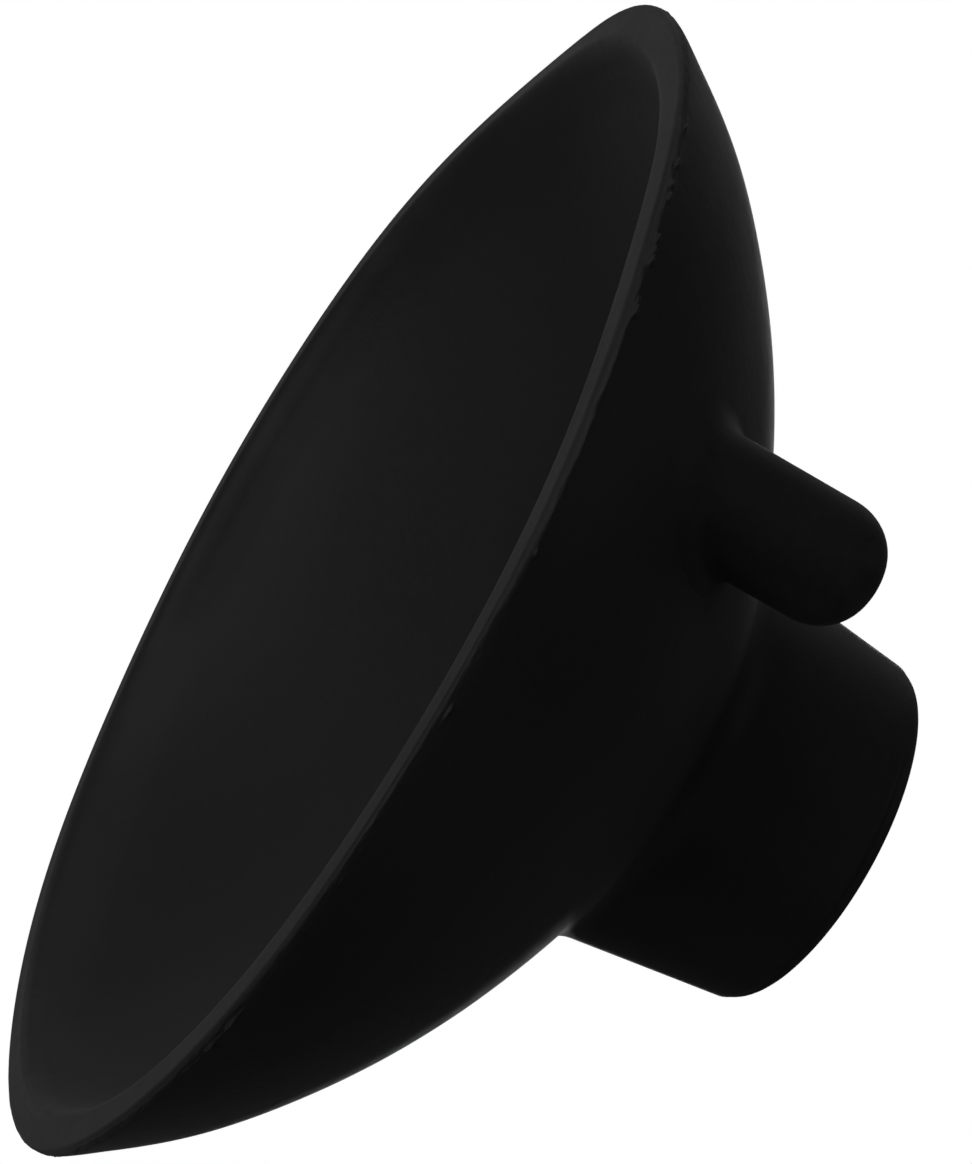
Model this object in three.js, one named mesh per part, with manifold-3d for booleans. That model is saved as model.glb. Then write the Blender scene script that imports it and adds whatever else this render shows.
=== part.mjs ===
// Sink plunger cup: a black rubber force cup with a tapered handle hub and a
// side grip peg, standing on its rim. Millimetres, +Z up, origin at the centre
// of the rim on the surface the cup stands on, grip peg on the +X side.
//
// The real cup is one rubber moulding. It is split here into the zones that
// move against each other when the rubber flexes: the lip stays on the sink,
// the two wall zones buckle, the crown and the hub follow the handle, and the
// peg bends where it grows out of the wall.

import * as THREE from 'three';
import { mergeVertices } from 'three/addons/utils/BufferGeometryUtils.js';
import Module from 'manifold-3d';

// ---------------------------------------------------------------- dimensions
const RIM_R = 50.0;            // outer radius of the sealing lip
const LAND_OUT_R = 48.8;       // outer edge of the flat sealing land
const LAND_IN_R = 46.4;        // inner edge of the flat sealing land
const LIP_H = 1.5;             // height of the lip's rounded outer edge
const SEAM = 0.3;              // clearance between neighbouring zones
const WALL_T = 3.0;            // wall thickness near the lip
const CROWN_T = 4.6;           // wall thickness near the hub
const CEILING_Z = 24.6;        // highest point of the inside of the cup
const SPLIT_R = 31.6;          // outer radius where the two wall zones meet
const CROWN_R = 24.4;          // outer radius where the crown begins
const CROWN_TOP_Z = 28.3;      // top of the crown, under the hub
const HUB_BASE_R = 16.55;      // hub radius just above its fillet
const HUB_END_R = 14.94;       // hub radius at its free end
const HUB_END_Z = 46.3;        // free end of the hub, total height
const HUB_FILLET_R = 18.0;     // where the hub's foot meets the crown
const HUB_ROUND = 1.3;         // rounding of the hub's end edge
const SOCKET_R = 10.0;         // handle socket
const SOCKET_FLOOR_Z = 30.8;   // blind floor of the handle socket
const PEG_X = 38.88;           // distance of the grip peg from the cup's axis
const PEG_R = 4.77;            // radius of the grip peg
const PEG_ROOT_R = 4.9;        // slightly stouter at its root
const PEG_TIP_Z = 27.57;       // top of the grip peg
const PEG_ROUND = 3.67;        // how far the domed tip draws in
const PEG_DOME = 4.05;         // height of the domed tip
const PEG_SPLIT_Z = 22.0;      // below this the peg is the root that flexes
const TURN = 112;              // facets around the cup

// Outer face of the bell, radius and height, from the lip to the crown.
const BELL = [
  [49.27, 1.5], [47.75, 4.0], [46.12, 6.5], [44.25, 9.0], [42.04, 11.5],
  [39.52, 14.0], [36.74, 16.5], [33.65, 19.0], [31.6, 20.5], [29.38, 22.0],
  [27.0, 23.5], [24.4, 25.0], [21.6, 26.5], [18.8, 28.0],
];

// ------------------------------------------------------------------- helpers
const along = (a, b, t) => a + (b - a) * t;

// Point and outward normal of the bell's outer face at a radius.
function bellAt(r) {
  for (let i = 0; i < BELL.length - 1; i++) {
    const [r0, z0] = BELL[i], [r1, z1] = BELL[i + 1];
    if (r <= r0 + 1e-9 && r >= r1 - 1e-9) {
      const t = (r0 - r) / (r0 - r1);
      return [r, along(z0, z1, t)];
    }
  }
  throw new Error('radius outside the bell');
}
function bellNormal(r) {
  const h = 1.2;
  const a = bellAt(Math.min(r + h, BELL[0][0]));
  const b = bellAt(Math.max(r - h, BELL[BELL.length - 1][0]));
  const tr = b[0] - a[0], tz = b[1] - a[1], l = Math.hypot(tr, tz);
  return [tz / l, -tr / l];
}
const thick = (r) => along(WALL_T, CROWN_T, THREE.MathUtils.clamp((45 - r) / 25, 0, 1));

// Inner face of the bell, set in from the outer face along its normal.
function innerAt(r) {
  const [pr, pz] = bellAt(r), [nr, nz] = bellNormal(r), t = thick(r);
  return [pr - nr * t, pz - nz * t];
}

// A closed ring from a closed outline given as [radius, height] pairs, counter-
// clockwise in the radius-height plane so that the faces look outwards.
function ring(outline) {
  const pts = outline.map(([r, z]) => new THREE.Vector2(r, z));
  pts.push(pts[0].clone());
  const g = new THREE.LatheGeometry(pts, TURN);
  g.rotateX(Math.PI / 2);
  return g;
}
function turned(profile, segments) {
  const g = new THREE.LatheGeometry(profile.map(([r, z]) => new THREE.Vector2(r, z)), segments);
  g.rotateX(Math.PI / 2);
  return g;
}

// A wall zone between two radii of the bell, cut square to the wall.
function wallZone(rLow, rHigh, steps) {
  const outer = [], inner = [];
  for (let i = 0; i <= steps; i++) {
    const r = along(rLow, rHigh, i / steps);
    outer.push(bellAt(r));
    inner.push(innerAt(r));
  }
  return [...outer, ...inner.reverse()];
}

function material(colour, roughness) {
  return new THREE.MeshStandardMaterial({ color: colour, roughness, metalness: 0 });
}

const group = new THREE.Group();
function add(name, geometry, mat) {
  const mesh = new THREE.Mesh(geometry, mat);
  mesh.name = name;
  group.add(mesh);
  return mesh;
}

// --------------------------------------------------------------- sealing lip
// Flat land on the sink, rounded outer edge, softly rounded inner edge.
add('sealing_lip', ring([
  [LAND_IN_R, 0.0], [LAND_OUT_R, 0.0], [49.4, 0.16], [49.85, 0.55], [RIM_R, 1.0],
  [49.85, 1.35], [49.3, LIP_H], [45.1, LIP_H], [45.5, 0.7], [45.9, 0.2],
]), material(0x232323, 0.62));

// ---------------------------------------------------------------- bell walls
// Lower zone: lip to shoulder. It stands firm and carries the grip peg.
const startR = BELL[0][0] - 0.22;
const lower = wallZone(startR, SPLIT_R + SEAM / 2, 11)
  .map(([r, z]) => [r, Math.max(z, LIP_H + SEAM)]);
add('lower_wall', ring(lower), material(0x1b1b1b, 0.6));

// Upper zone: shoulder to crown. It folds when the hub is pressed down.
add('upper_wall', ring(wallZone(SPLIT_R - SEAM / 2, CROWN_R + SEAM / 2 + 0.05, 5)),
  material(0x1b1b1b, 0.6));

// --------------------------------------------------------------------- crown
// Thick disc that closes the bell under the hub; its underside is the ceiling.
const crownStart = CROWN_R - SEAM / 2 - 0.05;
const crownTop = [bellAt(crownStart), bellAt(22.8), bellAt(21.6), bellAt(20.2), bellAt(18.8)];
add('cup_crown', turned([
  [0, CEILING_Z], [5, CEILING_Z - 0.08], [10, CEILING_Z - 0.35], [13.5, CEILING_Z - 0.8],
  innerAt(18.8), innerAt(20.2), innerAt(21.6), innerAt(22.8), innerAt(crownStart),
  ...crownTop, [HUB_FILLET_R + 0.2, CROWN_TOP_Z], [0, CROWN_TOP_Z],
], TURN), material(0x1b1b1b, 0.6));

// ----------------------------------------------------------------------- hub
// Tapered boss with a filleted foot and a blind socket for the handle.
const hubFoot = CROWN_TOP_Z + SEAM;
const rim = [];
for (let i = 0; i <= 4; i++) {
  const a = (i / 4) * Math.PI / 2;
  rim.push([HUB_END_R - HUB_ROUND + HUB_ROUND * Math.cos(a), HUB_END_Z - HUB_ROUND + HUB_ROUND * Math.sin(a)]);
}
add('hub_boss', turned([
  [0, hubFoot], [HUB_FILLET_R, hubFoot], [17.3, 29.5], [16.85, 30.6], [HUB_BASE_R, 31.8],
  ...rim, [SOCKET_R + 0.8, HUB_END_Z], [SOCKET_R, HUB_END_Z - 0.8],
  [SOCKET_R, SOCKET_FLOOR_Z], [0, SOCKET_FLOOR_Z],
], TURN), material(0x191919, 0.58));

// ------------------------------------------------------------------ grip peg
// Round peg with a domed tip, parallel to the hub, cut to sit on the wall.
const wasm = await Module();
wasm.setup();
function toSolid(geometry) {
  const g = geometry.clone();
  g.deleteAttribute('normal');
  g.deleteAttribute('uv');
  const m = mergeVertices(g, 1e-4);
  return new wasm.Manifold(new wasm.Mesh({
    numProp: 3,
    vertProperties: new Float32Array(m.attributes.position.array),
    triVerts: new Uint32Array(m.index.array),
  }));
}
function toGeometry(solid) {
  const mesh = solid.getMesh();
  const g = new THREE.BufferGeometry();
  const p = new Float32Array(mesh.numVert * 3);
  for (let i = 0; i < mesh.numVert; i++) {
    for (let k = 0; k < 3; k++) p[3 * i + k] = mesh.vertProperties[i * mesh.numProp + k];
  }
  g.setAttribute('position', new THREE.BufferAttribute(p, 3));
  g.setIndex(new THREE.BufferAttribute(new Uint32Array(mesh.triVerts), 1));
  return g;
}

const tip = [];
for (let i = 0; i <= 7; i++) {
  const a = (i / 7) * Math.PI / 2;
  tip.push([PEG_R - PEG_ROUND + PEG_ROUND * Math.cos(a), PEG_TIP_Z - PEG_DOME + PEG_DOME * Math.sin(a)]);
}
const rootTop = PEG_SPLIT_Z;
const rootBlank = turned([[0, 3.0], [PEG_ROOT_R, 3.0], [PEG_ROOT_R, 15.0], [PEG_R, rootTop], [0, rootTop]], 40);
rootBlank.translate(PEG_X, 0, 0);

// The wall's outer face grown by the clearance, as a filled bell.
const grown = BELL.map(([r, z]) => {
  const [nr, nz] = bellNormal(r);
  return [r + nr * SEAM, z + nz * SEAM];
});
const bellTool = turned([
  [0, -5], [grown[0][0] + 6, -5], [grown[0][0] + 6, 0.0], ...grown,
  [14, 29.5], [0, 29.5],
], TURN);
// Root of the peg: fused to the wall on the real cup, and where it bends.
add('peg_root', toGeometry(toSolid(rootBlank).subtract(toSolid(bellTool))), material(0x1c1c1c, 0.58));
// Free end of the peg.
const pegTop = turned([[0, rootTop + SEAM], [PEG_R, rootTop + SEAM], ...tip, [0, PEG_TIP_Z]], 40);
pegTop.translate(PEG_X, 0, 0);
add('grip_peg', pegTop, material(0x1c1c1c, 0.58));

export default group;
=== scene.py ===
import math

import bpy
import numpy as np
from mathutils import Matrix, Vector


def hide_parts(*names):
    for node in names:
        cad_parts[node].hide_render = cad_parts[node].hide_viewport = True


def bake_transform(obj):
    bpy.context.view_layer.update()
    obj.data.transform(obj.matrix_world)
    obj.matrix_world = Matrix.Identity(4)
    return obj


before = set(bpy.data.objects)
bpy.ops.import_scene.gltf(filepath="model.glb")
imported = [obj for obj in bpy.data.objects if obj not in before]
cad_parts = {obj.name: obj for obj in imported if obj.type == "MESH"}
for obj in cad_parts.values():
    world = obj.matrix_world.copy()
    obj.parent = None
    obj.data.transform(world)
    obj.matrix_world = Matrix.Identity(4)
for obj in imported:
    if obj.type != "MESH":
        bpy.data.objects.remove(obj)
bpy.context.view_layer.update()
scene = bpy.context.scene

MM = 0.001
TURN, FINE = 576, 1296          # columns round the cup, and round its lip
CAM_AZ = math.radians(26.862)   # camera's direction, counter-clockwise from the peg

# ------------------------------------------------------------------ profiles
def natural_spline(xs, ys):
    """Natural cubic spline through the points, as a function of x."""
    x, y = np.asarray(xs, float), np.asarray(ys, float)
    n, h = len(x), np.diff(x)
    a = np.zeros((n, n)); b = np.zeros(n)
    a[0, 0] = a[-1, -1] = 1
    for i in range(1, n - 1):
        a[i, i - 1], a[i, i], a[i, i + 1] = h[i - 1], 2 * (h[i - 1] + h[i]), h[i]
        b[i] = 6 * ((y[i + 1] - y[i]) / h[i] - (y[i] - y[i - 1]) / h[i - 1])
    m = np.linalg.solve(a, b)

    def f(q):
        q = np.asarray(q, float)
        i = np.clip(np.searchsorted(x, q) - 1, 0, n - 2)
        l, r = x[i + 1] - q, q - x[i]
        return (m[i] * l ** 3 + m[i + 1] * r ** 3) / (6 * h[i]) + (y[i] / h[i] - m[i] * h[i] / 6) * l + (y[i + 1] / h[i] - m[i + 1] * h[i] / 6) * r
    return f


bell_r = natural_spline([1.5, 4.0, 9.0, 14.0, 19.0, 24.0, 28.0],
                        [49.274, 47.751, 44.250, 39.522, 33.645, 26.135, 18.778])


def bell_z(r):
    """Height of the bell's outer face at a radius."""
    z = np.linspace(0.0, 28.5, 600)
    return np.interp(np.asarray(r, float), bell_r(z)[::-1], z[::-1])


def bezier(p0, p1, p2, p3, n, last=False):
    t = np.linspace(0, 1, n + 1)[: None if last else -1][:, None]
    p0, p1, p2, p3 = (np.array(p, float) for p in (p0, p1, p2, p3))
    return (1 - t) ** 3 * p0 + 3 * t * (1 - t) ** 2 * p1 + 3 * t * t * (1 - t) * p2 + t ** 3 * p3


def resample(line, step):
    """A polyline with even spacing, corners kept close."""
    line = np.asarray(line, float)
    d = np.concatenate([[0], np.cumsum(np.hypot(*np.diff(line, axis=0).T))])
    n = max(2, int(round(d[-1] / step)) + 1)
    q = np.linspace(0, d[-1], n)
    return np.stack([np.interp(q, d, line[:, 0]), np.interp(q, d, line[:, 1])], 1)


def hub_r(z):
    return 16.838 - (z - 29.0) * (16.838 - 14.938) / (46.264 - 29.0)


# ------------------------------------------------------------- smooth noise
def turn_noise(phi, seed, lowest, highest, power=0.5):
    """Periodic random curve round the cup, about -1 to 1."""
    rng = np.random.default_rng(seed)
    out = np.zeros_like(phi); total = 0
    for k in range(lowest, highest + 1):
        a = 1.0 / k ** power
        out += a * np.cos(k * phi + rng.uniform(0, 2 * math.pi)) * rng.normal()
        total += a * a
    return out / math.sqrt(total)


def unwrap(a):
    return (a + math.pi) % (2 * math.pi) - math.pi


# How the lip stands out of true round and flat, as on any soft cup that has
# been lying about: millimetres against the angle from the camera's direction.
RISE = [0.147, -0.076, -0.099, -0.283, 0.133, 0.191, 0.085, 0.029, -0.107, -0.026, 0.066, 0.092, -0.013, 0.014, -0.069, -0.058, -0.012]


def lip_rise(phi):
    a = unwrap(phi - CAM_AZ)
    out = np.full_like(a, RISE[0])
    for k in range(1, len(RISE) // 2 + 1):
        out += RISE[2 * k - 1] * np.cos(k * a) + RISE[2 * k] * np.sin(k * a)
    return out


def warp(co, inner=False):
    """Lifts points near the lip by its rise, fading out up the wall. The land rolls
    with it: its inner edge stays lower where the lip is lifted."""
    phi = np.arctan2(co[..., 1], co[..., 0]); r = np.hypot(co[..., 0], co[..., 1])
    fade = np.clip(1 - co[..., 2] / 15.0, 0, 1) ** 2
    rise = lip_rise(phi)
    roll = (0.07 + 0.36 * np.clip(rise, 0, 2)) * np.clip((48.8 - r) / 2.4, 0, 1)
    out = co.copy()
    out[..., 2] += (rise - (roll if inner else roll * (co[..., 2] < 0.001))) * fade
    return out


# ---------------------------------------------------------------- mesh maker
def build_mesh(name, co, faces):
    me = bpy.data.meshes.new(name)
    me.from_pydata(co, [], faces)
    me.update()
    me.polygons.foreach_set("use_smooth", [True] * len(me.polygons))
    ob = bpy.data.objects.new(name, me)
    scene.collection.objects.link(ob)
    return ob


def lathe(name, rows, extra=None, flip=False, close_end=False, cols=TURN):
    """A skin of quads turned from rows of (radius, height) in mm."""
    rows = np.asarray(rows, float)
    phi = np.arange(cols) * 2 * math.pi / cols
    p = np.zeros((len(rows), cols, 3))
    p[..., 0] = rows[:, :1] * np.cos(phi); p[..., 1] = rows[:, :1] * np.sin(phi); p[..., 2] = rows[:, 1:2]
    if extra is not None:
        p = extra(p)
    p = warp(p, inner=flip)
    n = len(p)
    j = np.arange(cols); k = (j + 1) % cols
    faces = []
    for i in range(n - 1):
        q = np.stack([i * cols + j, i * cols + k, (i + 1) * cols + k, (i + 1) * cols + j], 1)
        faces.append(q[:, ::-1] if flip else q)
    faces = np.concatenate(faces).tolist()
    co = (p.reshape(-1, 3) * MM).tolist()
    if close_end:
        co.append([0.0, 0.0, float(p[-1, :, 2].mean()) * MM])
        for a in range(cols):
            tri = [(n - 1) * cols + a, (n - 1) * cols + (a + 1) % cols, len(co) - 1]
            faces.append(tri[::-1] if flip else tri)
    return build_mesh(name, co, faces)


def snug(line, start=True, end=True, gap=0.04):
    """Adds a row close to each end, so that two skins meet with one slope."""
    line = np.asarray(line, float)
    def step(a, b):
        return a + (b - a) * gap / np.hypot(*(b - a))
    parts = [line[:1]] + ([step(line[0], line[1])[None]] if start else []) + [line[1:-1]] + ([step(line[-1], line[-2])[None]] if end else []) + [line[-1:]]
    return np.concatenate(parts)


# ------------------------------------------------------- outer skin, in rows
LAND_MID = 47.6
ZONE_A, ZONE_B = 25.0, 28.0     # heights where one moving zone hands over to the next

land = np.array([[LAND_MID, 0.0], [47.95, 0.0], [48.3, 0.0], [48.5, 0.0], [48.66, 0.0]])
EDGE_R, EDGE_C = 0.42, 48.71     # rounding of the lip's outer edge, and where it starts
edge = np.array([[EDGE_C + EDGE_R * math.sin(a), EDGE_R * (1 - math.cos(a))] for a in np.radians(np.linspace(0, 84, 8))])
flank = bezier([49.13, 0.42], [49.17, 1.1], [48.52, 2.6], [bell_r(4.0), 4.0], 60, last=True)
flank_z = np.array([0.46, 0.54, 0.62, 0.68, 0.73, 0.78, 0.83, 0.89, 0.97, 1.07, 1.18, 1.3, 1.45, 1.62, 1.8, 2.0, 2.2, 2.4, 2.6, 2.8, 3.0, 3.2, 3.4, 3.6, 3.8])
lip_top = np.stack([np.interp(flank_z, flank[:, 1], flank[:, 0]), flank_z], 1)
zz = np.arange(4.0, 20.0, 0.42)
bell_low = np.stack([bell_r(zz), zz], 1)
high = resample(np.stack([bell_r(np.linspace(20.0, ZONE_A, 60)), np.linspace(20.0, ZONE_A, 60)], 1), 0.45)
outer_base = np.concatenate([land, edge, lip_top, bell_low, high])

# Crown: the bell runs into the hub through a broad fillet.
z_top = 26.6
slope = (bell_r(z_top + 0.1) - bell_r(z_top - 0.1)) / 0.2
fil0 = np.array([float(bell_r(z_top)), z_top])
fil3 = np.array([hub_r(31.9), 31.9])
fil1 = fil0 + np.array([slope, 1.0]) * 1.55
fil2 = fil3 + np.array([0.11, -1.0]) * 2.6
fillet = bezier(fil0, fil1, fil2, fil3, 40, last=True)
crown_line = np.concatenate([np.stack([bell_r(np.linspace(ZONE_A, z_top, 12)), np.linspace(ZONE_A, z_top, 12)], 1)[:-1], fillet])
cut = int(np.argmax(crown_line[:, 1] > ZONE_B))
t = (ZONE_B - crown_line[cut - 1, 1]) / (crown_line[cut, 1] - crown_line[cut - 1, 1])
at_b = crown_line[cut - 1] + t * (crown_line[cut] - crown_line[cut - 1])
outer_crown = resample(np.concatenate([crown_line[:cut], at_b[None]]), 0.3)
hub_line = np.concatenate([at_b[None], crown_line[cut:]])
END_Z, END_R, ROUND = 46.264, 14.938, 1.25
side = np.array([[hub_r(z), z] for z in np.linspace(31.9, END_Z - ROUND, 28)])
end_round = [[END_R - ROUND + ROUND * math.cos(a), END_Z - ROUND + ROUND * math.sin(a)] for a in np.linspace(0.05, math.pi / 2, 9)]
end_face = np.array([[13.3, END_Z], [12.6, END_Z - 0.03], [11.8, END_Z - 0.04], [11.2, END_Z - 0.03], [10.95, END_Z - 0.05]])
mouth = bezier([10.85, END_Z - 0.08], [10.4, END_Z - 0.25], [10.15, END_Z - 0.5], [10.0, END_Z - 0.95], 6)
bore = np.array([[10.0, z] for z in np.arange(END_Z - 1.1, 31.9, -0.22)])
floor_line = np.array([[9.95, 31.6], [9.8, 31.25], [9.45, 30.95], [8.8, 30.84], [7.5, 30.8], [5.0, 30.8], [2.5, 30.8], [0.6, 30.8]])
outer_hub = np.concatenate([resample(hub_line, 0.3), side[1:], end_round, end_face, mouth, bore, floor_line])

# ------------------------------------------------------- inner skin, in rows
def inner_of(zo, thick):
    """Inner face point for a point of the outer face at height zo."""
    d = 0.05
    tr, tz = float(bell_r(zo + d) - bell_r(zo - d)), 2 * d
    l = math.hypot(tr, tz)
    return [float(bell_r(zo)) - tz / l * thick, zo + tr / l * thick]


in_edge = np.array([[LAND_MID, 0.0], [47.45, 0.0], [47.3, 0.0], [47.15, 0.0]])
inner_pts = [inner_of(zo, 3.25 - 0.25 * min(max((zo - 1.5) / 5, 0), 1) + 1.6 * min(max((zo - 6) / 20, 0), 1)) for zo in np.linspace(1.9, 27.4, 60)]
inner_pts = np.array([p for p in inner_pts if p[1] > 1.7])
to_wall = bezier([47.05, 0.0], [46.25, 0.0], inner_pts[0] + np.array([0.36, -0.8]), inner_pts[0], 14)
ceiling = bezier(inner_pts[-1], inner_pts[-1] + np.array([-3.2, 1.25]), [7.0, 24.6], [0.6, 24.6], 26, last=True)
inner_all = np.concatenate([in_edge, to_wall, resample(inner_pts, 0.45)[:-1], ceiling])
IN_A = inner_of(ZONE_A, 3.0 + 1.6 * (ZONE_A - 6) / 20)[1]
IN_A0 = inner_of(20.5, 3.0 + 1.6 * (20.5 - 6) / 20)[1]
ci = int(np.argmax(inner_all[:, 1] > IN_A))
t = (IN_A - inner_all[ci - 1, 1]) / (inner_all[ci, 1] - inner_all[ci - 1, 1])
at_in = inner_all[ci - 1] + t * (inner_all[ci] - inner_all[ci - 1])
inner_base = np.concatenate([inner_all[:ci], at_in[None]])
inner_crown = np.concatenate([at_in[None], inner_all[ci:]])


# ---------------------------------------------------------- surface details
FLASH_Z = 0.76


def nibs(phi, z):
    """Torn flash left where the cup was trimmed out of its mould, in mm outwards."""
    a = unwrap(phi - CAM_AZ)
    base = 0.005 + 0.015 * turn_noise(phi, 5, 3, 40) + 0.012 * turn_noise(phi, 6, 60, 200)
    out = np.exp(-((z - FLASH_Z) / 0.07) ** 2) * np.clip(base, 0, 0.25)
    rng = np.random.default_rng(21)
    bumps = [(math.radians(d) + CAM_AZ, math.radians(w), t) for d, w, t in NIBS]
    bumps += [(rng.uniform(-math.pi, math.pi), math.radians(rng.uniform(0.3, 0.9)), rng.uniform(0.01, 0.06)) for _ in range(44)]
    for at, wide, tall in bumps:
        x = unwrap(phi - at) / wide
        lump = tall * np.exp(-x ** 4) * (1 + 0.25 * np.sin(5 * x + 40 * at))
        out += lump * np.exp(-((z - FLASH_Z) / (0.07 + 0.22 * tall)) ** 2)
    return np.clip(out, 0, 0.75)


# Angle from the camera's direction, half width (degrees) and height (mm).
NIBS = [(-31.0, 0.55, 0.5), (-32.1, 0.35, 0.2), (-36.3, 0.45, 0.5), (-37.4, 0.4, 0.3), (-38.6, 0.35, 0.45), (-43.5, 0.4, 0.35), (-45.2, 0.35, 0.25),
        (-48.0, 0.5, 0.3), (-53.0, 0.4, 0.2), (38.0, 0.8, 0.25), (41.5, 0.6, 0.2), (5.0, 0.6, 0.2), (-9.0, 0.4, 0.2)]


def rough_edge(p):
    """Lip and bell: flash on the parting line and a trimmed, slightly uneven edge."""
    phi = np.arctan2(p[..., 1], p[..., 0])
    r = np.hypot(p[..., 0], p[..., 1]); z = p[..., 2]
    a = unwrap(phi - CAM_AZ)
    oval = 0.58 * np.exp(-((np.abs(a) - 1.466) / 0.34) ** 2) + 0.08
    out = nibs(phi, z) * (r > 48.8) + oval * np.clip((r - 47.8) / 1.2, 0, 1) * np.clip(1 - (z - 0.8) / 5.0, 0, 1)
    # a stretch where the mould's skirt was not cut right back
    deg = np.degrees(a)
    left = np.clip((deg + 62) / 14, 0, 1) * np.clip((6 - deg) / 22, 0, 1)
    left = left * left * (3 - 2 * left) * (1 + 0.16 * turn_noise(phi, 17, 20, 120))
    out += 0.24 * left * np.clip(z / 0.6, 0, 1) * np.clip(1 - (z - 0.6) / 1.3, 0, 1) ** 2 * (r > 48.2)
    trimmed = np.exp(-((z - 0.5) / 0.4) ** 2) * (r > 48.9) * (0.03 * turn_noise(phi, 9, 8, 90) + 0.02 * turn_noise(phi + 3 * z, 10, 70, 240))
    wall = 0.05 * turn_noise(phi, 11, 2, 7) * np.clip((z - 2) / 8, 0, 1) * np.clip((26 - z) / 8, 0, 1)
    s = 1 + (out + trimmed + wall) / np.maximum(r, 1)
    low = 0.035 * turn_noise(phi, 14, 2, 12) * np.exp(-((z - 0.6) / 0.25) ** 2) * (r > 48.8)
    q = p.copy(); q[..., 0] *= s; q[..., 1] *= s; q[..., 2] += low
    return q


def thread(p):
    """Coarse moulded thread in the handle socket."""
    phi = np.arctan2(p[..., 1], p[..., 0])
    r = np.hypot(p[..., 0], p[..., 1]); z = p[..., 2]
    turn = ((END_Z - z) / 3.6 - phi / (2 * math.pi)) % 1.0
    crest = np.exp(-((turn - 0.5) / 0.16) ** 2)
    ends = np.clip((END_Z - 1.4 - z) / 1.0, 0, 1) * np.clip((z - 32.2) / 1.0, 0, 1)
    inside = (r < 10.3) & (r > 9.8)
    s = 1 - 0.75 * crest * ends * inside / np.maximum(r, 1)
    q = p.copy(); q[..., 0] *= s; q[..., 1] *= s
    return q


skin_base = lathe("cup_outer", snug(outer_base, start=False), rough_edge, cols=FINE)
skin_in = lathe("cup_inner", snug(inner_base, start=False), flip=True)
skin_crown = lathe("crown_outer", snug(outer_crown))
ceiling_in = lathe("crown_inner", snug(inner_crown, end=False), flip=True, close_end=True)
hub = lathe("hub_skin", snug(outer_hub, end=False), thread, close_end=True)

# ------------------------------------------------------------------ grip peg
PEG_X, PEG_R, PEG_TOP, DRAW, DOME = 38.88, 4.77, 27.57, 3.67, 4.05
PCOL = 128
psi = np.arange(PCOL) * 2 * math.pi / PCOL


def ground(d):
    """Height of the wall at distance d from the peg's axis, for every direction."""
    return bell_z(np.hypot(PEG_X + d * np.cos(psi), d * np.sin(psi)))


rows = []
foot = 2.3                                    # width of the fillet at the root
g_out, g_in = ground(PEG_R + foot), ground(PEG_R)
for t in np.linspace(0, 1, 15):
    d = (1 - t) ** 2 * (PEG_R + foot) + 2 * t * (1 - t) * PEG_R + t * t * PEG_R
    h = (1 - t) ** 2 * (g_out - 0.03) + 2 * t * (1 - t) * g_in + t * t * (g_in + foot * 0.9)
    rows.append(np.stack([PEG_X + d * np.cos(psi), d * np.sin(psi), h], 1))
start_z = g_in + foot * 0.9
for s in np.linspace(0, 1, 22)[1:]:
    h = start_z + (PEG_TOP - DOME - start_z) * s
    rr = PEG_R + 0.03 * np.sin(3 * psi + 1.0) * s
    rows.append(np.stack([PEG_X + rr * np.cos(psi), rr * np.sin(psi), h], 1))
for a in np.linspace(0, math.pi / 2, 16)[1:]:
    rr = PEG_R - DRAW + DRAW * math.cos(a) + 0.03 * np.sin(3 * psi + 1.0) * math.cos(a)
    rows.append(np.stack([PEG_X + rr * np.cos(psi), rr * np.sin(psi), np.full(PCOL, PEG_TOP - DOME + DOME * math.sin(a))], 1))
rows.append(np.stack([PEG_X + 0.5 * np.cos(psi), 0.5 * np.sin(psi), np.full(PCOL, PEG_TOP)], 1))
p = np.stack(rows)
faces = []
j = np.arange(PCOL); k = (j + 1) % PCOL
for i in range(len(p) - 1):
    faces.append(np.stack([i * PCOL + j, i * PCOL + k, (i + 1) * PCOL + k, (i + 1) * PCOL + j], 1))
faces = np.concatenate(faces).tolist()
co = (warp(p).reshape(-1, 3) * MM).tolist(); c = len(co); co.append([PEG_X * MM, 0, PEG_TOP * MM])
faces += [[(len(p) - 1) * PCOL + a, (len(p) - 1) * PCOL + (a + 1) % PCOL, c] for a in range(PCOL)]
peg = build_mesh("peg_skin", co, faces)


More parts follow.
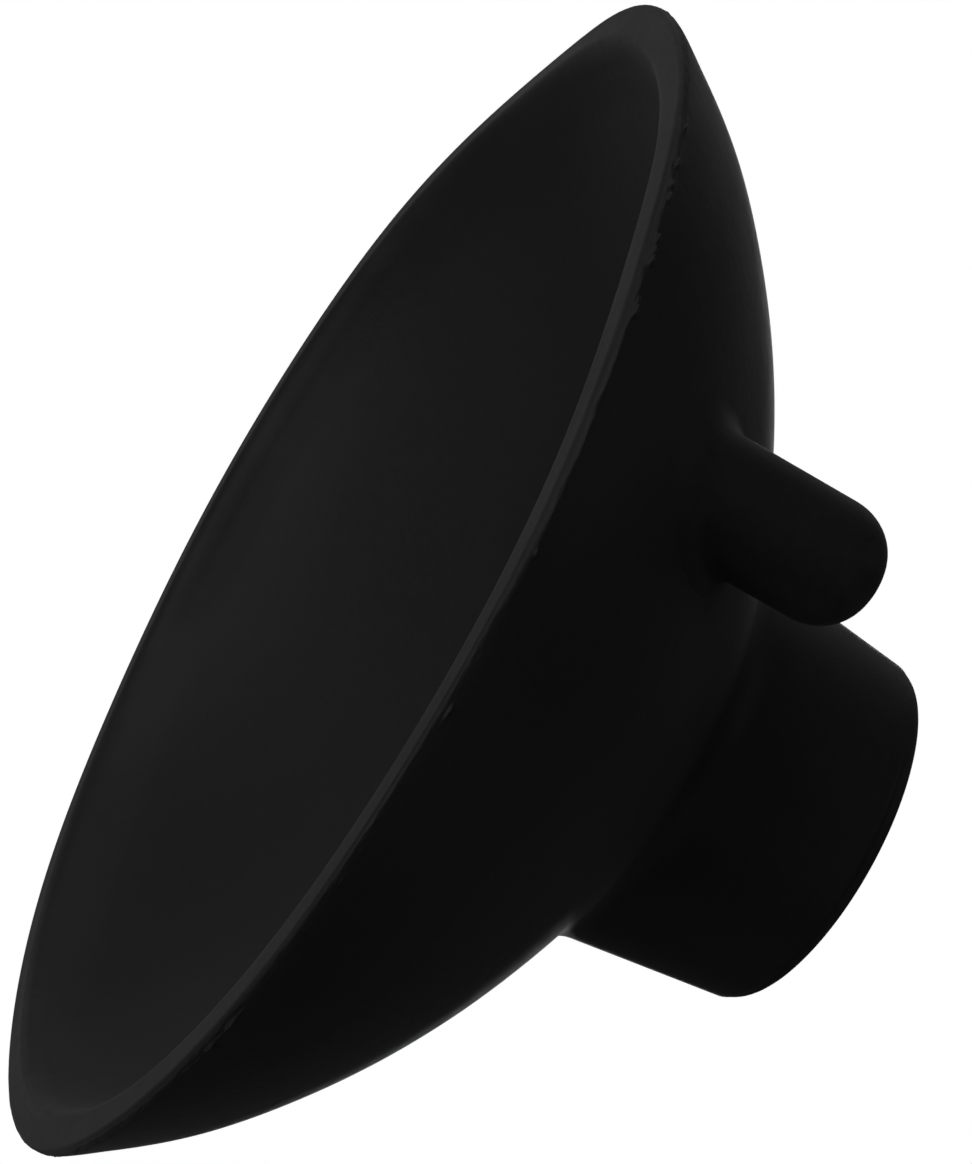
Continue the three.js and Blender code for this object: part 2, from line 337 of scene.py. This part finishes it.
# ----------------------------------------------------------------- materials
def lip_wear_and_highlight(N, L, tc, where, colour, base, mix):
    """Patchy pale on the lip, the same all the way round: partly wear, partly a painted highlight that makes the
    down-facing land paler. Where it sits comes from the surface's own height and facing and from noise, never from an
    angle."""
    def ease(v, a, b, lo=0.0, hi=1.0):
        x = N.new("ShaderNodeMapRange"); x.interpolation_type = "SMOOTHSTEP"; x.clamp = True
        L.new(v, x.inputs["Value"])
        for k, w in (("From Min", a), ("From Max", b), ("To Min", lo), ("To Max", hi)): x.inputs[k].default_value = w
        return x.outputs["Result"]

    def times(a, b):
        x = N.new("ShaderNodeMath"); x.operation = "MULTIPLY"; L.new(a, x.inputs[0]); L.new(b, x.inputs[1]); return x.outputs[0]

    if where == "outer":
        geo = N.new("ShaderNodeNewGeometry"); nz = N.new("ShaderNodeSeparateXYZ"); L.new(geo.outputs["Normal"], nz.inputs[0])
        at = ease(nz.outputs[2], -0.55, -0.9)
    else:
        sep = N.new("ShaderNodeSeparateXYZ"); L.new(tc.outputs["Object"], sep.inputs[0])
        at = ease(sep.outputs[2], 0.006, 0.0005)
    patch = N.new("ShaderNodeTexNoise"); patch.inputs["Scale"].default_value = 70; patch.inputs["Detail"].default_value = 3
    L.new(tc.outputs["Object"], patch.inputs["Vector"])
    fine = N.new("ShaderNodeTexNoise"); fine.inputs["Scale"].default_value = 330; fine.inputs["Detail"].default_value = 3
    L.new(tc.outputs["Object"], fine.inputs["Vector"])
    # patches of painted highlight and wear on the land
    wear_and_highlight_patch = times(ease(patch.outputs["Fac"], 0.42, 0.66), ease(fine.outputs["Fac"], 0.3, 0.7, 0.6, 1.0))
    pale = base * 1.5
    return mix("MIX", times(wear_and_highlight_patch, at), colour, (pale, pale, pale, 1))


def rubber(name, base=0.026, rough=0.5, spec=0.5, where=None, grain=1.0, seed=0.0, fuzz=0.2):
    m = bpy.data.materials.new(name); m.use_nodes = True
    nt = m.node_tree; N = nt.nodes; L = nt.links
    bsdf = N["Principled BSDF"]
    bsdf.inputs["Specular IOR Level"].default_value = spec
    bsdf.inputs["IOR"].default_value = 1.5
    bsdf.inputs["Sheen Weight"].default_value = fuzz; bsdf.inputs["Sheen Roughness"].default_value = 0.3
    tc = N.new("ShaderNodeTexCoord")

    def noise(scale, detail=4, rough_=0.55, off=0.0):
        mp = N.new("ShaderNodeMapping"); mp.inputs["Location"].default_value = (seed + off, off * 1.7, seed * 0.5)
        L.new(tc.outputs["Object"], mp.inputs["Vector"])
        n = N.new("ShaderNodeTexNoise"); n.inputs["Scale"].default_value = scale
        n.inputs["Detail"].default_value = detail; n.inputs["Roughness"].default_value = rough_
        L.new(mp.outputs["Vector"], n.inputs["Vector"]); return n.outputs["Fac"]

    def ramp(fac, stops):
        r = N.new("ShaderNodeValToRGB"); e = r.color_ramp.elements
        e[0].position, e[0].color = stops[0][0], (*[stops[0][1]] * 3, 1)
        e[1].position, e[1].color = stops[-1][0], (*[stops[-1][1]] * 3, 1)
        for pos, v in stops[1:-1]:
            x = e.new(pos); x.color = (v, v, v, 1)
        L.new(fac, r.inputs["Fac"]); return r.outputs["Color"]

    def mix(kind, fac, a, b):
        x = N.new("ShaderNodeMix"); x.data_type = "RGBA"; x.blend_type = kind
        if isinstance(fac, (int, float)): x.inputs[0].default_value = fac
        else: L.new(fac, x.inputs[0])
        for s, v in ((6, a), (7, b)):
            if isinstance(v, tuple): x.inputs[s].default_value = v
            else: L.new(v, x.inputs[s])
        return x.outputs[2]

    cloud = noise(55, 4, 0.6)                      # slow mottling, centimetres
    speck = noise(1500, 3, 0.7, 3.1)               # fine matte grain
    pale = ramp(noise(420, 5, 0.7, 7.7), [(0.0, 0.0), (0.66, 0.0), (0.80, 1.0)])  # sparse talc freckles
    lo, hi = base * 0.86, base * 1.18
    colour = mix("MIX", cloud, (lo, lo, lo * 1.01, 1), (hi, hi, hi * 1.01, 1))
    colour = mix("MULTIPLY", 0.55, colour, ramp(speck, [(0.3, 0.7), (0.7, 1.25)]))
    dust = mix("MIX", 0.5, (0.0, 0.0, 0.0, 1), pale)
    colour = mix("MIX", dust, colour, (base * 1.9, base * 1.9, base * 1.85, 1))
    # pale patches on the lip: partly wear, partly painted highlight on the land
    if where:
        colour = lip_wear_and_highlight(N, L, tc, where, colour, base, mix)
    L.new(colour, bsdf.inputs["Base Color"])
    L.new(ramp(mix("MIX", 0.5, cloud, speck), [(0.3, rough - 0.07), (0.7, rough + 0.08)]), bsdf.inputs["Roughness"])
    b1 = N.new("ShaderNodeBump"); b1.inputs["Strength"].default_value = 0.32 * grain; b1.inputs["Distance"].default_value = 0.00005
    L.new(noise(2300, 3, 0.65, 1.3), b1.inputs["Height"])
    b2 = N.new("ShaderNodeBump"); b2.inputs["Strength"].default_value = 0.35 * grain; b2.inputs["Distance"].default_value = 0.0002
    L.new(noise(260, 4, 0.6, 5.9), b2.inputs["Height"]); L.new(b1.outputs["Normal"], b2.inputs["Normal"])
    L.new(b2.outputs["Normal"], bsdf.inputs["Normal"])
    return m


wall_mat = rubber("wall_rubber_look", where="outer")
inner_mat = rubber("inner_rubber_look", where="inner", seed=2.0)
hub_mat = rubber("hub_rubber_look", seed=4.0, fuzz=0.1)
for ob, mat, slot in ((skin_base, wall_mat, "wall_rubber"), (skin_crown, wall_mat, "wall_rubber"), (skin_in, inner_mat, "wall_rubber"),
                      (ceiling_in, inner_mat, "wall_rubber"), (hub, hub_mat, "hub_rubber"), (peg, hub_mat, "hub_rubber")):
    ob.data.materials.append(mat)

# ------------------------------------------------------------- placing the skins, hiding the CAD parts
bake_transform(skin_base)
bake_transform(skin_in)
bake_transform(skin_crown)
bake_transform(ceiling_in)
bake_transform(hub)
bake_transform(peg)
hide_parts("sealing_lip", "lower_wall")
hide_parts("upper_wall")
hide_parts("cup_crown")
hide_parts("hub_boss")
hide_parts("peg_root", "grip_peg")

# -------------------------------------------------------------------- camera
CAM_POS = Vector((285.05, 142.158, -75.618)) * MM
RIGHT = Vector((0.429243, -0.323313, 0.843338))
DOWN = Vector((-0.288107, 0.835939, 0.467118))
AHEAD = Vector((-0.856005, -0.443479, 0.265672))
cam_data = bpy.data.cameras.new("camera"); cam = bpy.data.objects.new("camera", cam_data)
scene.collection.objects.link(cam); scene.camera = cam
turn = Matrix((RIGHT, -DOWN, -AHEAD)).transposed().to_4x4()
cam.matrix_world = Matrix.Translation(CAM_POS) @ turn
cam_data.sensor_width = 36.0
cam_data.lens = 130.979
cam_data.clip_start, cam_data.clip_end = 0.01, 20.0

# --------------------------------------------------------------------- stage
# A pale floor at the height the cup stands on. From below, where the main
# camera looks up past the rim, its back lets the pale studio show.
me = bpy.data.meshes.new("floor")
n, half = 48, 3.0
me.from_pydata([(half * math.cos(2 * math.pi * a / n), half * math.sin(2 * math.pi * a / n), -0.0005) for a in range(n)], [], [list(range(n))])
floor = bpy.data.objects.new("floor", me); scene.collection.objects.link(floor)
fm = bpy.data.materials.new("floor_pale"); fm.use_nodes = True
nt = fm.node_tree; N, L = nt.nodes, nt.links
bs = N["Principled BSDF"]; bs.inputs["Base Color"].default_value = (0.86, 0.86, 0.855, 1); bs.inputs["Roughness"].default_value = 0.75
bs.inputs["Specular IOR Level"].default_value = 0.2
bs.inputs["Emission Strength"].default_value = 0.6
# The floor's glow is darkened by ambient occlusion close to the cup: a painted contact shadow.
painted_shadow_ao = N.new("ShaderNodeAmbientOcclusion"); painted_shadow_ao.inputs["Distance"].default_value = 0.06; painted_shadow_ao.samples = 8
painted_shadow_ramp = N.new("ShaderNodeValToRGB"); painted_shadow_ramp.color_ramp.elements[0].position, painted_shadow_ramp.color_ramp.elements[0].color = 0.0, (0.12, 0.12, 0.12, 1)
painted_shadow_ramp.color_ramp.elements[1].position, painted_shadow_ramp.color_ramp.elements[1].color = 0.95, (1, 1, 1, 1)
L.new(painted_shadow_ao.outputs["AO"], painted_shadow_ramp.inputs["Fac"]); L.new(painted_shadow_ramp.outputs["Color"], bs.inputs["Emission Color"])
geo = N.new("ShaderNodeNewGeometry"); clear = N.new("ShaderNodeBsdfTransparent"); mx = N.new("ShaderNodeMixShader")
L.new(geo.outputs["Backfacing"], mx.inputs[0]); L.new(bs.outputs[0], mx.inputs[1]); L.new(clear.outputs[0], mx.inputs[2])
L.new(mx.outputs[0], N["Material Output"].inputs["Surface"])
me.materials.append(fm)
floor.visible_diffuse = floor.visible_glossy = floor.visible_transmission = floor.visible_shadow = False

# --------------------------------------------------------------------- light
world = bpy.data.worlds.new("studio"); scene.world = world; world.use_nodes = True
nt = world.node_tree; N, L = nt.nodes, nt.links
lit = N["Background"]; lit.inputs["Color"].default_value = (1, 1, 1, 1); lit.inputs["Strength"].default_value = 0.0145
seen = N.new("ShaderNodeBackground"); seen.inputs["Color"].default_value = (1, 1, 1, 1); seen.inputs["Strength"].default_value = 1.0
path = N.new("ShaderNodeLightPath"); mx = N.new("ShaderNodeMixShader")
L.new(path.outputs["Is Camera Ray"], mx.inputs[0]); L.new(lit.outputs[0], mx.inputs[1]); L.new(seen.outputs[0], mx.inputs[2])
L.new(mx.outputs[0], N["World Output"].inputs["Surface"])
scene.view_settings.view_transform = "Standard"
scene.view_settings.look = "None"

AIM = Vector((0.008, 0.004, 0.018))


def soft_light(name, right, down, ahead, power, size=0.5, distance=0.9):
    """A large soft lamp, placed by its direction as the camera sees it."""
    d = (RIGHT * right + DOWN * down + AHEAD * ahead).normalized()
    data = bpy.data.lights.new(name, "AREA"); data.shape = "DISK"; data.size = size; data.energy = power
    ob = bpy.data.objects.new(name, data); scene.collection.objects.link(ob)
    ob.location = AIM + d * distance
    ob.rotation_mode = "QUATERNION"; ob.rotation_quaternion = d.to_track_quat("Z", "Y")
    ob.visible_camera = False
    return ob


LAMPS = [
    ("lamp_0", 0, -1, -1, 0.561),
    ("lamp_1", -1, 0, -1, 0.549),
    ("lamp_2", -1, -1, -1, 0.324),
    ("lamp_3", 0, -1, 0, 0.273),
    ("lamp_4", -1, 0, 0, 0.114),
    ("lamp_5", 1, 1, -1, 0.058),
    ("lamp_6", -1, 1, 0, 0.162),
    ("lamp_7", -1, -1, 0, 0.076),
    ("lamp_8", 1, 0, 0, 0.079),
    ("lamp_9", 1, 0, -1, 0.049),
    ("lamp_10", -1, -1, 1, 0.147),
    ("lamp_11", 1, 1, 0, 0.038),
    ("lamp_12", 0, 1, 0, 0.03),
    ("lamp_13", 0, -1, 1, 0.137),
    ("lamp_14", -1, 0, 1, 0.077),
    ("lamp_15", 1, -1, 1, 0.061),
    ("lamp_16", 1, 1, 1, 0.018),
    ("lamp_17", -1, 1, 1, 0.07),
    ("lamp_18", 1, -1, 0, 0.01),
    ("lamp_19", 1, 0, 1, 0.019),
    ("lamp_20", -0.35, -0.35, 1, 0.049),
    ("lamp_21", 0.35, -0.35, 1, 0.079),
    ("lamp_22", -0.45, 0, 1, 0.027),
    ("lamp_23", -0.35, 0.35, 1, 0.016),
    ("behind", 0, 0, 1, 2.2),
]
for args in LAMPS:
    soft_light(*args)
